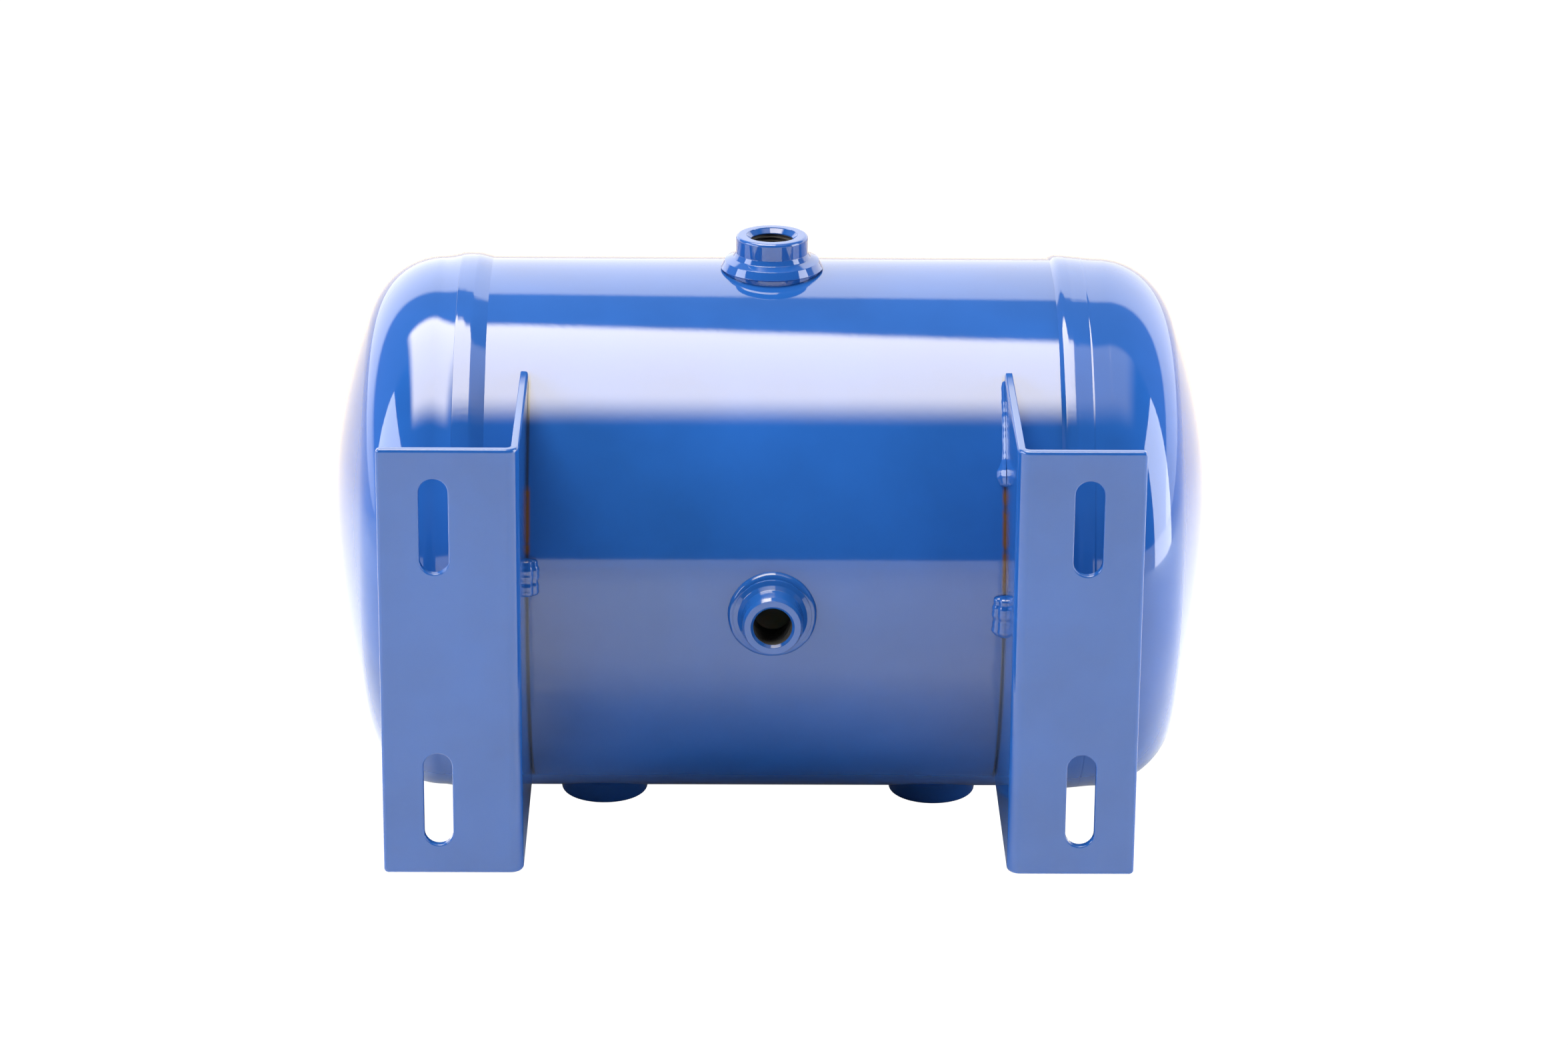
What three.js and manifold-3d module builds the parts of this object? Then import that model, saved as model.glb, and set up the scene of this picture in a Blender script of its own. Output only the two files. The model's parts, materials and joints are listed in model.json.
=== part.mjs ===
// Horizontal steel pressure vessel with two mounting brackets and four threaded ports.
//
// Frame, in millimetres: +X along the vessel, +Z up, -Y out through the faces of the bracket feet.
// The origin is on the plane of the foot faces, level with the vessel's axis and at mid-length.

import * as THREE from 'three';
import { mergeVertices } from 'three/addons/utils/BufferGeometryUtils.js';
import Module from 'manifold-3d';

// ---------------------------------------------------------------- driving dimensions

const gap = 0.3; // clearance left between pieces that touch

const vessel = {
  radius: 103,
  wall: 3,
  halfLength: 170, // to the tip of each dished head
  crownRadius: 230,
  knuckleRadius: 30,
  footDistance: 154, // axis to the outer faces of the feet
};

const joint = {
  x: 113.3, // middle of the weld between shell and head
  beadHalfWidth: 6.1,
  beadHeight: 2.3,
  rootHalfWidth: 1,
  skirtLength: 11, // joggled skirt of the head, tucked inside the shell
  joggleRun: 3,
};

const seam = {
  angle: 205, // around the axis from the front, over the top: just below the back
  width: 8,
  height: 1.3,
  halfLength: 105,
};

// Ports stand square to the shell. Heights are measured outwards from the shell's surface.
const ports = [
  {
    name: 'top_port',
    axis: '+z',
    x: 0,
    bore: 8.19, // M18 x 1.5
    mouth: 9.75,
    spigot: 11.7,
    face: 13.4,
    outline: [[18.6, 0], [19.65, 0.7], [17.65, 3.5], [13.85, 6.7], [13.85, 12.3], [12.9, 13.4]],
    weld: { inside: true, reach: 3.5 },
  },
  {
    name: 'drain_port',
    axis: '-y',
    x: 0,
    bore: 7.19, // M16 x 1.5
    mouth: 8.05,
    spigot: 10,
    face: 13,
    outline: [[14.6, 0], [14.6, 2.1], [12.9, 2.8], [11.4, 4.2], [11.2, 11.2], [10.45, 13]],
    weld: { inside: false, reach: 2, height: 1.7 },
  },
  ...[['left', -65], ['right', 65]].map(([side, x]) => ({
    name: `bottom_port_${side}`,
    axis: '-z',
    x,
    bore: 10.19, // M22 x 1.5
    mouth: 11.5,
    spigot: 14,
    face: 10,
    outline: [[17, 0], [17, 8.2], [16.4, 9.5], [15.2, 10]],
    weld: { inside: false, reach: 4, height: 3.2 },
  })),
];
const spigotDepth = 5.5; // how far a port reaches in from the shell's outer surface
const holeClearance = 0.3;

// The right bracket stands nearer to mid-length and its foot is narrower.
const brackets = [
  { side: 'left', sign: -1, web: 91, outer: 142, slot: 121.7 },
  { side: 'right', sign: 1, web: 86.2, outer: 132.6, slot: 112.4 },
];
const bracket = {
  thickness: 3,
  halfHeight: 82,
  bendRadius: 5, // outer radius of the bend between web and foot
  slotWidth: 10.5,
  slotLength: 36,
  slotHeight: 52.8, // middle of each slot above or below the axis
};

// Fillet welds between web and shell, as angles above the front of the shell, in degrees.
const filletLeg = 3.6;
const outerFillets = { upper: [16, 30], middle: [-6, 6], lower: [-30, -16] };
const filletWelds = {
  left: { inner: { middle: [4, 12] }, outer: outerFillets },
  right: { inner: { upper: [27, 50.5], middle: [-4.5, 4.5] }, outer: outerFillets },
};

const roundSegments = 48; // around the vessel, a multiple of four so that facets line up
const portSegments = 32;

// ---------------------------------------------------------------- solids

const wasm = await Module();
wasm.setup();

function solid(geometry) {
  const bare = geometry.clone();
  bare.deleteAttribute('normal');
  bare.deleteAttribute('uv');
  const merged = mergeVertices(bare, 1e-4);
  const index = Array.from(merged.index.array);
  const triangles = [];
  for (let i = 0; i < index.length; i += 3) {
    const [a, b, c] = index.slice(i, i + 3);
    if (a !== b && b !== c && c !== a) triangles.push(a, b, c);
  }
  return new wasm.Manifold(new wasm.Mesh({
    numProp: 3,
    vertProperties: new Float32Array(merged.attributes.position.array),
    triVerts: new Uint32Array(triangles),
  }));
}

const turns = {
  '+x': (geometry) => geometry.rotateZ(-Math.PI / 2),
  '-x': (geometry) => geometry.rotateZ(Math.PI / 2),
  '-y': (geometry) => geometry.rotateZ(Math.PI),
  '+z': (geometry) => geometry.rotateX(Math.PI / 2),
  '-z': (geometry) => geometry.rotateX(-Math.PI / 2),
};

// A solid turned from a closed outline of [radius, height] points, with height along the axis.
function turned(points, axis, segments, x = 0) {
  const profile = points.map(([radius, height]) => new THREE.Vector2(radius, height));
  if (THREE.ShapeUtils.isClockWise(profile)) profile.reverse();
  const onAxis = profile[0].x === 0 && profile.at(-1).x === 0;
  if (!onAxis) profile.push(profile[0].clone());
  const geometry = turns[axis](new THREE.LatheGeometry(profile, segments));
  return solid(geometry.translate(x, 0, 0));
}

function rod(radius, from, to, axis, segments, x = 0) {
  return turned([[0, from], [radius, from], [radius, to], [0, to]], axis, segments, x);
}

// Everything within the given distance of the vessel's axis.
function core(radius) {
  return rod(radius, -2 * vessel.halfLength, 2 * vessel.halfLength, '+x', roundSegments);
}

function arc(centre, radius, from, to, steps) {
  return Array.from({ length: steps + 1 }, (_, i) => {
    const angle = THREE.MathUtils.degToRad(from + ((to - from) * i) / steps);
    return [centre[0] + radius * Math.cos(angle), centre[1] + radius * Math.sin(angle)];
  });
}

// ---------------------------------------------------------------- shell and heads

const inner = vessel.radius - vessel.wall;

function portHoles() {
  return ports.map((port) => {
    const radius = port.spigot + holeClearance;
    return rod(radius, inner / 2, vessel.radius * 1.2, port.axis, portSegments, port.x);
  });
}

function shellSolid() {
  const end = joint.x - joint.rootHalfWidth - gap;
  const tube = [[inner, -end], [vessel.radius, -end], [vessel.radius, end], [inner, end]];
  const rolled = turned(tube, '+x', roundSegments);
  return portHoles().reduce((body, hole) => body.subtract(hole), rolled);
}

// The knuckle and crown arcs of a head, from the tip outwards, for one face of the plate.
function dishedArcs(inset) {
  const { radius, crownRadius, knuckleRadius, halfLength } = vessel;
  const knuckleCentreRadius = radius - knuckleRadius;
  const reach = crownRadius - knuckleRadius;
  const tilt = THREE.MathUtils.radToDeg(Math.asin(knuckleCentreRadius / reach));
  const crownCentre = [0, halfLength - crownRadius];
  const knuckleCentre = [
    knuckleCentreRadius,
    crownCentre[1] + Math.sqrt(reach ** 2 - knuckleCentreRadius ** 2),
  ];
  const crown = arc(crownCentre, crownRadius - inset, 90, 90 - tilt, 4);
  const knuckle = arc(knuckleCentre, knuckleRadius - inset, 90 - tilt, 0, 4);
  crown[0][0] = 0;
  return [...crown, ...knuckle.slice(1)];
}

function headSolid(axis) {
  const { radius, wall } = vessel;
  const step = joint.x + joint.rootHalfWidth + gap;
  const skirtRadius = inner - gap;
  const skirtEnd = joint.x - joint.skirtLength;
  const outside = [
    ...dishedArcs(0),
    [radius, step + joint.joggleRun],
    [skirtRadius, step],
    [skirtRadius, skirtEnd],
  ];
  const inside = [
    ...dishedArcs(wall),
    [radius - wall, step + joint.joggleRun + gap],
    [skirtRadius - wall, step + gap],
    [skirtRadius - wall, skirtEnd],
  ];
  return turned([...inside, ...outside.reverse()], axis, roundSegments);
}

function headWeldSolid(axis) {
  const base = vessel.radius + gap;
  const { x, beadHalfWidth: half, beadHeight, rootHalfWidth: root } = joint;
  const toe = 0.25;
  const crown = [-0.65, 0, 0.65].map((t) => [
    vessel.radius + beadHeight * (1 - t * t * 0.75),
    x + t * half,
  ]);
  return turned([
    [base, x - half],
    [base + toe, x - half],
    ...crown,
    [base + toe, x + half],
    [base, x + half],
    [base, x + root],
    [inner + gap / 2, x + root],
    [inner + gap / 2, x - root],
    [base, x - root],
  ], axis, roundSegments);
}

function seamWeldSolid() {
  const section = new THREE.Shape();
  const base = vessel.radius + gap;
  section.moveTo(-seam.width / 2, base);
  section.lineTo(seam.width / 2, base);
  section.quadraticCurveTo(0, base + 2 * seam.height, -seam.width / 2, base);
  const bead = new THREE.ExtrudeGeometry(section, {
    depth: 2 * seam.halfLength,
    bevelEnabled: false,
    curveSegments: 6,
  });
  bead.translate(0, 0, -seam.halfLength);
  bead.rotateY(Math.PI / 2);
  // The section's height now points along +Y; turn it about the vessel to its place.
  bead.rotateX(THREE.MathUtils.degToRad(180 - seam.angle));
  return solid(bead).subtract(core(base));
}

// ---------------------------------------------------------------- ports

function portSolid(port) {
  const { radius } = vessel;
  const top = radius + port.face;
  const outline = port.outline.map(([r, height]) => [r, radius + height]);
  const body = turned([[0, inner * 0.9], [port.outline[0][0], inner * 0.9], ...outline, [0, top]],
    port.axis, portSegments, port.x);
  const spigot = rod(port.spigot, radius - spigotDepth, radius + port.face / 2,
    port.axis, portSegments, port.x);
  const chamfer = port.mouth - port.bore;
  const bore = turned([
    [0, inner * 0.8],
    [port.bore, inner * 0.8],
    [port.bore, top - chamfer],
    [port.mouth, top],
    [port.mouth, top + 1],
    [0, top + 1],
  ], port.axis, portSegments, port.x);
  return body.subtract(core(radius + gap)).add(spigot).subtract(bore);
}

// A fillet ring around the port: on the shell's outer face, or around the spigot inside it.
function portWeldSolid(port) {
  const { inside, reach, height } = port.weld;
  const { radius } = vessel;
  if (inside) {
    const start = port.spigot + gap;
    const depth = inner - gap;
    const ring = [[start, depth - 2], [start + 1, depth - 2], [start + reach, depth], [start, depth]];
    return turned(ring, port.axis, portSegments, port.x).intersect(core(depth));
  }
  const start = port.outline[0][0] + gap;
  const foot = radius * 0.9;
  const ring = [
    [start, foot],
    [start + reach, foot],
    [start + reach, radius + gap],
    [start + reach * 0.55, radius + gap + height * 0.62],
    [start, radius + height],
  ];
  return turned(ring, port.axis, portSegments, port.x).subtract(core(radius + gap));
}

// ---------------------------------------------------------------- brackets

// The bent section seen from above, drawn for the right bracket: foot along X, web along Y.
function bracketSection({ web, outer }) {
  const { thickness, bendRadius } = bracket;
  const face = -vessel.footDistance;
  const bend = [web + bendRadius, face + bendRadius];
  const section = new THREE.Shape();
  section.moveTo(outer, face);
  section.lineTo(outer, face + thickness);
  section.lineTo(bend[0], face + thickness);
  section.absarc(...bend, bendRadius - thickness, -Math.PI / 2, -Math.PI, true);
  section.lineTo(web + thickness, -webBack);
  section.lineTo(web, -webBack);
  section.lineTo(web, bend[1]);
  section.absarc(...bend, bendRadius, -Math.PI, -Math.PI / 2, false);
  return section;
}

// The web runs back to where its top and bottom corners meet the shell.
const webBack = Math.sqrt((vessel.radius + gap) ** 2 - bracket.halfHeight ** 2) - 0.5;

function slotSolid(x, z) {
  const half = bracket.slotWidth / 2;
  const straight = bracket.slotLength / 2 - half;
  const outline = new THREE.Shape();
  outline.absarc(x, straight, half, 0, Math.PI, false);
  outline.absarc(x, -straight, half, Math.PI, 2 * Math.PI, false);
  const cut = new THREE.ExtrudeGeometry(outline, { depth: 20, bevelEnabled: false, curveSegments: 8 });
  cut.rotateX(Math.PI / 2);
  cut.translate(0, -vessel.footDistance + 10, z);
  return solid(cut);
}

function bracketSolid(place) {
  const plate = new THREE.ExtrudeGeometry(bracketSection(place), {
    depth: 2 * bracket.halfHeight,
    bevelEnabled: false,
    curveSegments: 6,
  });
  plate.translate(0, 0, -bracket.halfHeight);
  return solid(plate)
    .subtract(slotSolid(place.slot, bracket.slotHeight))
    .subtract(slotSolid(place.slot, -bracket.slotHeight))
    .subtract(core(vessel.radius + gap));
}

// A wedge of space about the vessel's axis between two angles above the front.
function sector(from, to) {
  const reach = vessel.radius * 1.5;
  const shape = new THREE.Shape();
  shape.moveTo(0, 0);
  arc([0, 0], reach, from, to, 6).forEach(([front, up]) => shape.lineTo(front, up));
  const wedge = new THREE.ExtrudeGeometry(shape, { depth: 2 * vessel.halfLength, bevelEnabled: false });
  wedge.translate(0, 0, -vessel.halfLength);
  // The shape's first axis turns to -Y, its second to +Z and the extrusion to -X.
  wedge.applyMatrix4(new THREE.Matrix4().set(0, 0, -1, 0, -1, 0, 0, 0, 0, 1, 0, 0, 0, 0, 0, 1));
  return solid(wedge);
}

// direction is +1 for the side of the web away from mid-length, -1 for the side facing it.
function filletSolid(place, direction, [from, to]) {
  const faceX = direction > 0 ? place.web + bracket.thickness : place.web;
  const x = (offset) => faceX + direction * (gap + offset);
  const base = vessel.radius + gap;
  const section = [[base, x(0)], [base, x(filletLeg)], [base + filletLeg, x(0)]];
  return turned(section, '+x', roundSegments).intersect(sector(from, to));
}

// ---------------------------------------------------------------- assembly

const enamel = { color: 0x2f6bb8, roughness: 0.12, metalness: 0 };
const bracketEnamel = { color: 0x2c63ad, roughness: 0.14, metalness: 0 };
const weldEnamel = { color: 0x2a5fa8, roughness: 0.18, metalness: 0 };

const tank = new THREE.Group();
tank.position.set(0, vessel.footDistance, 0);

function addPiece(name, body, finish) {
  const { vertProperties, triVerts } = body.getMesh();
  const geometry = new THREE.BufferGeometry();
  geometry.setAttribute('position', new THREE.BufferAttribute(new Float32Array(vertProperties), 3));
  geometry.setIndex(new THREE.BufferAttribute(new Uint32Array(triVerts), 1));
  geometry.computeVertexNormals();
  const mesh = new THREE.Mesh(geometry, new THREE.MeshStandardMaterial(finish));
  mesh.name = name;
  tank.add(mesh);
}

// Mirror the solid drawn for the right side when the piece is on the left.
const onSide = (body, place) => (place.sign > 0 ? body : body.mirror([1, 0, 0]));

addPiece('shell', shellSolid(), enamel);
for (const [side, axis] of [['left', '-x'], ['right', '+x']]) {
  addPiece(`head_${side}`, headSolid(axis), enamel);
  addPiece(`head_weld_${side}`, headWeldSolid(axis), weldEnamel);
}
addPiece('seam_weld', seamWeldSolid(), weldEnamel);

for (const port of ports) {
  addPiece(port.name, portSolid(port), enamel);
  addPiece(`${port.name}_weld`, portWeldSolid(port), weldEnamel);
}

for (const place of brackets) {
  addPiece(`bracket_${place.side}`, onSide(bracketSolid(place), place), bracketEnamel);
  for (const [face, direction] of [['inner', -1], ['outer', 1]]) {
    for (const [where, angles] of Object.entries(filletWelds[place.side][face])) {
      const fillet = onSide(filletSolid(place, direction, angles), place);
      addPiece(`bracket_${place.side}_weld_${face}_${where}`, fillet, weldEnamel);
    }
  }
}

export default new THREE.Group().add(tank);
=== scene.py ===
# Visual model of a horizontal steel pressure vessel with two mounting brackets and four threaded
# ports. Shapes are worked out in millimetres about the middle of the vessel, with +X along it,
# +Z up and -Y out through the feet, and are set into the row frame, in metres, as they are added.

import json
import math

import bmesh
import bpy
import numpy as np
from mathutils import Matrix, Vector
from mathutils.geometry import delaunay_2d_cdt


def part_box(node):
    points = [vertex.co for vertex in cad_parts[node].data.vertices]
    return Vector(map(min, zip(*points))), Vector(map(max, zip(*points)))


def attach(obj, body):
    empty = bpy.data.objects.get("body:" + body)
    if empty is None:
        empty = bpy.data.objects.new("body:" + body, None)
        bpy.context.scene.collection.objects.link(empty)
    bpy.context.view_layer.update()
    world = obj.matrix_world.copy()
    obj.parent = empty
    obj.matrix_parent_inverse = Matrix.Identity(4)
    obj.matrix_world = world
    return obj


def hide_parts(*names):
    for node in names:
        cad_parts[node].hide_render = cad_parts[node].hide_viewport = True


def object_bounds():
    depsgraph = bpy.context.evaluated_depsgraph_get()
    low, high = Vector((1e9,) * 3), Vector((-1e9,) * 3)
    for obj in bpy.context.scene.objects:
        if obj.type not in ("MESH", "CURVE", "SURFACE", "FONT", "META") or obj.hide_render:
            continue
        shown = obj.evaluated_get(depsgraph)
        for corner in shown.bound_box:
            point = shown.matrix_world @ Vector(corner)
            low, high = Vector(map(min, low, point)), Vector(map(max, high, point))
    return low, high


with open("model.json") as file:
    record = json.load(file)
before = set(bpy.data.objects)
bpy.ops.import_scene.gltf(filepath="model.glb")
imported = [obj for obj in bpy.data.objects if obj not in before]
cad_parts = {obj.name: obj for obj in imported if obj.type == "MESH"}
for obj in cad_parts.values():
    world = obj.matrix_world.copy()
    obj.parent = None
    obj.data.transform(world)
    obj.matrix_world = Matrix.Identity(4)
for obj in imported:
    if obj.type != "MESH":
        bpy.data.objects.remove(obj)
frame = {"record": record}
cad_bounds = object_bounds()

MM = 0.001


def extent(node):
    """Lowest and highest corners of a CAD node in the row frame, in millimetres."""
    low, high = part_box(node)
    return np.array(low) / MM, np.array(high) / MM


# ---------------------------------------------------------------- sizes read from the frame

shell_low, shell_high = extent("shell")
AXIS = (shell_low + shell_high) / 2
RADIUS = (shell_high[2] - shell_low[2]) / 2
SHELL_END = shell_high[0]

head_low, head_high = extent("head_right")
HEAD_TIP = head_high[0]
SKIRT_END = head_low[0]

bead_low, bead_high = extent("head_weld_right")
BEAD_X = (bead_low[0] + bead_high[0]) / 2
BEAD_HALF = (bead_high[0] - bead_low[0]) / 2

seam_low, seam_high = extent("seam_weld")
SEAM_HALF_LENGTH = (seam_high[0] - seam_low[0]) / 2
seam_middle = (seam_low + seam_high) / 2 - AXIS
SEAM_ANGLE = math.atan2(seam_middle[2], -seam_middle[1])

# ---------------------------------------------------------------- sizes the frame doesn't give

WALL = 3.0
CROWN_RADIUS = 230.0
KNUCKLE_RADIUS = 30.0
JOGGLE_RUN = 3.0
ROOT_HALF = 1.0  # half of the gap between shell and head, under the bead
GAP = 0.3  # clearance between touching pieces
EMBED = 0.35  # how far a weld reaches into the plates it joins

AROUND = 256  # segments around the vessel
PORT_AROUND = 128
HOLE_AROUND = 64
SHELL_ROWS = 41

THREAD_PITCH = 1.5
THREAD_DEPTH = 0.81
THREAD_STEPS = 8  # rows of mesh in one pitch
SPIGOT_DEPTH = 5.5

# Ports: bore, mouth and spigot radii, then corners of the outside as radius, height above the
# shell's crest and edge rounding. The foot of each port follows the shell.
PORTS = {
    "top_port": {
        "up": (0, 0, 1), "bore": 8.19, "mouth": 9.75, "spigot": 11.7,
        "corners": [(18.6, 0.15, 0), (19.65, 0.7, 0.25), (18.0, 3.59, 0.35), (14.9, 4.9, 0.6),
                    (13.85, 6.7, 0.4), (13.85, 13.4, 1.3)],
        "foot": 18.6,
    },
    "drain_port": {
        "up": (0, -1, 0), "bore": 7.19, "mouth": 8.05, "spigot": 10.0,
        "corners": [(14.6, 2.1, 0.15), (12.9, 2.8, 1.2), (11.4, 4.2, 0.6), (11.2, 11.2, 0.3),
                    (10.45, 13.0, 0.25)],
        "foot": 14.6,
    },
    "bottom_port_left": {
        "up": (0, 0, -1), "bore": 10.19, "mouth": 11.5, "spigot": 14.0,
        "corners": [(17.0, 10.0, 1.4)],
        "foot": 17.0,
    },
}
PORTS["bottom_port_right"] = PORTS["bottom_port_left"]

# Welds around the ports: leg along the shell and height up the port.
PORT_WELDS = {
    "drain_port": {"reach": 2.0, "height": 1.9},
    "bottom_port_left": {"reach": 4.0, "height": 3.2},
    "bottom_port_right": {"reach": 4.0, "height": 3.2},
}
INSIDE_WELD = {"reach": 3.5, "depth": 2.0}

PLATE = 3.0  # bracket plate
BEND_OUTER = 5.0
BEND_NEUTRAL = BEND_OUTER - PLATE / 2
BEND_STRIPS = 14
PLATE_CORNER = 1.6
SLOT_WIDTH = 10.5
SLOT_LENGTH = 36.0
FILLET_LEG = 3.6
EDGE_FRONT = (1.5, 1.0)  # rounding of the sheared edge: across the face, and into the plate
SLOT_FRONT = (0.7, 0.7)
EDGE_BACK = 0.35

# Beads between shell and heads: distance from the shell's side, height above the shell.
BEADS = {
    "left": [(0, 0), (2.2, 0.62), (4.5, 1.22), (5.6, 1.42), (8.5, 1.5), (11.6, 1.44),
             (11.9, 1.41), (12.2, 1.29)],
    "right": [(0, 0), (1.0, 0.72), (1.7, 1.1), (3.0, 1.3), (5.9, 1.28), (7.5, 1.05),
              (11.6, 0.66), (11.9, 0.61), (12.2, 0.54)],
}
HEAD_RIM = {"left": 1.4, "right": 0.6}  # how far each head flares out where it meets its bead
BEAD_WANDER = 0.18  # how far the edges of a bead wander
BEAD_RIPPLES = 210
RIPPLE = 0.012

SEAM_HALF_WIDTH = 3.9
SEAM_HEIGHT = 1.25


# ---------------------------------------------------------------- mesh helpers


def add_piece(name, points, faces, finishes, stands_for, sharp=38.0, which=None):
    """Add a closed mesh given in millimetres about the vessel's middle, and set it in the frame."""
    mesh = bpy.data.meshes.new(name)
    placed = (np.asarray(points, float) + AXIS) * MM
    mesh.from_pydata(placed.tolist(), [], faces)
    for finish in finishes:
        mesh.materials.append(finish)
    if which is not None:
        mesh.polygons.foreach_set("material_index", which)
    face_outwards(mesh)
    mesh.shade_smooth()
    mesh.set_sharp_from_angle(angle=math.radians(sharp))
    piece = add_object(name, mesh)
    weighted = piece.modifiers.new("weighted_normals", "WEIGHTED_NORMAL")
    weighted.keep_sharp = True
    weighted.weight = 50
    settle(piece)
    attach(piece, "root")
    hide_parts(stands_for)
    return piece


def add_object(name, data):
    made = bpy.data.objects.new(name, data)
    bpy.context.scene.collection.objects.link(made)
    return made


def face_outwards(mesh):
    """Turn every face of a closed mesh outwards."""
    body = bmesh.new()
    body.from_mesh(mesh)
    bmesh.ops.recalc_face_normals(body, faces=body.faces)
    body.to_mesh(mesh)
    body.free()


def settle(piece):
    """Turn a piece's modifiers into plain mesh."""
    graph = bpy.context.evaluated_depsgraph_get()
    graph.update()
    mesh = bpy.data.meshes.new_from_object(piece.evaluated_get(graph))
    piece.modifiers.clear()
    spent = piece.data
    piece.data = mesh
    bpy.data.meshes.remove(spent)


def ring_faces(rows, around, closed):
    """Quads between rings of vertices, and from the last ring back to the first if closed."""
    faces = []
    for row in range(rows if closed else rows - 1):
        here, there = row * around, (row + 1) % rows * around
        for i in range(around):
            j = (i + 1) % around
            faces.append((here + i, here + j, there + j, there + i))
    return faces


def arc(centre, radius, start, end, steps):
    """Points on an arc, with angles in degrees."""
    angles = np.radians(np.linspace(start, end, steps + 1))
    return [(centre[0] + radius * math.cos(a), centre[1] + radius * math.sin(a)) for a in angles]


def rounded(corners, steps=6):
    """A line through (radius, height, rounding) corners, with an arc at each inner corner."""
    points = [np.array(c[:2], float) for c in corners]
    line = [tuple(points[0])]
    for i in range(1, len(points) - 1):
        rounding = corners[i][2]
        back = points[i - 1] - points[i]
        ahead = points[i + 1] - points[i]
        back_length, ahead_length = np.linalg.norm(back), np.linalg.norm(ahead)
        back, ahead = back / back_length, ahead / ahead_length
        half = math.acos(np.clip(back @ ahead, -1, 1)) / 2
        if rounding <= 0 or half > math.radians(89):
            line.append(tuple(points[i]))
            continue
        run = min(rounding / math.tan(half), 0.49 * back_length, 0.49 * ahead_length)
        radius = run * math.tan(half)
        middle = (back + ahead) / np.linalg.norm(back + ahead)
        centre = points[i] + middle * radius / math.sin(half)
        first = points[i] + back * run - centre
        last = points[i] + ahead * run - centre
        turn = math.atan2(first[0] * last[1] - first[1] * last[0], first @ last)
        for k in range(steps + 1):
            a = turn * k / steps
            spin = np.array([[math.cos(a), -math.sin(a)], [math.sin(a), math.cos(a)]])
            line.append(tuple(centre + spin @ first))
    line.append(tuple(points[-1]))
    return line


def on_vessel(radius, angle, along):
    """A point at that radius and angle above the front, that far along the vessel."""
    return np.stack([along, -radius * np.cos(angle), radius * np.sin(angle)], axis=-1)


def wobble(angle, seed, waves=(2, 3, 5, 7)):
    """A smooth repeating unevenness between about -1 and 1 around a full turn."""
    draw = np.random.default_rng(seed)
    total = np.zeros_like(angle)
    for wave in waves:
        total += draw.uniform(0.4, 1) * np.sin(wave * angle + draw.uniform(0, math.tau)) / len(waves)
    return total


# ---------------------------------------------------------------- materials


class Sums:
    """Writes node arithmetic one line at a time."""

    def __init__(self, tree):
        self.tree = tree

    def math(self, operation, *values):
        node = self.tree.nodes.new("ShaderNodeMath")
        node.operation = operation
        for socket, value in zip(node.inputs, values):
            if isinstance(value, (int, float)):
                socket.default_value = value
            else:
                self.tree.links.new(value, socket)
        return node.outputs[0]

    def clamp(self, value, low, high):
        return self.math("MINIMUM", self.math("MAXIMUM", value, low), high)

    def step(self, value, low, high, to_min=0.0, to_max=1.0):
        """Smooth change from to_min to to_max as value goes from low to high."""
        node = self.tree.nodes.new("ShaderNodeMapRange")
        node.interpolation_type = "SMOOTHSTEP"
        for name, setting in (("Value", value), ("From Min", low), ("From Max", high),
                              ("To Min", to_min), ("To Max", to_max)):
            if isinstance(setting, (int, float)):
                node.inputs[name].default_value = setting
            else:
                self.tree.links.new(setting, node.inputs[name])
        return node.outputs["Result"]


def new_material(name):
    material = bpy.data.materials.new(name)
    material.use_nodes = True
    nodes, links = material.node_tree.nodes, material.node_tree.links
    return material, nodes, links, nodes["Principled BSDF"]


def coordinates(nodes, links, kind="Object"):
    """The three coordinates of the point being shaded, or in the world of the direction."""
    place = nodes.new("ShaderNodeTexCoord")
    split = nodes.new("ShaderNodeSeparateXYZ")
    links.new(place.outputs[kind], split.inputs[0])
    return split.outputs


def noise_node(nodes, links, scale, detail):
    """Noise over the object's own coordinates, in waves per metre."""
    place = nodes.new("ShaderNodeTexCoord")
    texture = nodes.new("ShaderNodeTexNoise")
    texture.inputs["Scale"].default_value = scale
    texture.inputs["Detail"].default_value = detail
    links.new(place.outputs["Object"], texture.inputs["Vector"])
    return texture


def ramp_node(nodes, links, source, stops):
    ramp = nodes.new("ShaderNodeValToRGB")
    elements = ramp.color_ramp.elements
    while len(elements) < len(stops):
        elements.new(0.5)
    for element, (position, colour) in zip(elements, stops):
        element.position = position
        element.color = (*colour, 1)
    links.new(source, ramp.inputs["Fac"])
    return ramp


def bump_node(nodes, links, height, strength, distance):
    bump = nodes.new("ShaderNodeBump")
    bump.inputs["Strength"].default_value = strength
    bump.inputs["Distance"].default_value = distance
    links.new(height, bump.inputs["Height"])
    return bump


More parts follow.
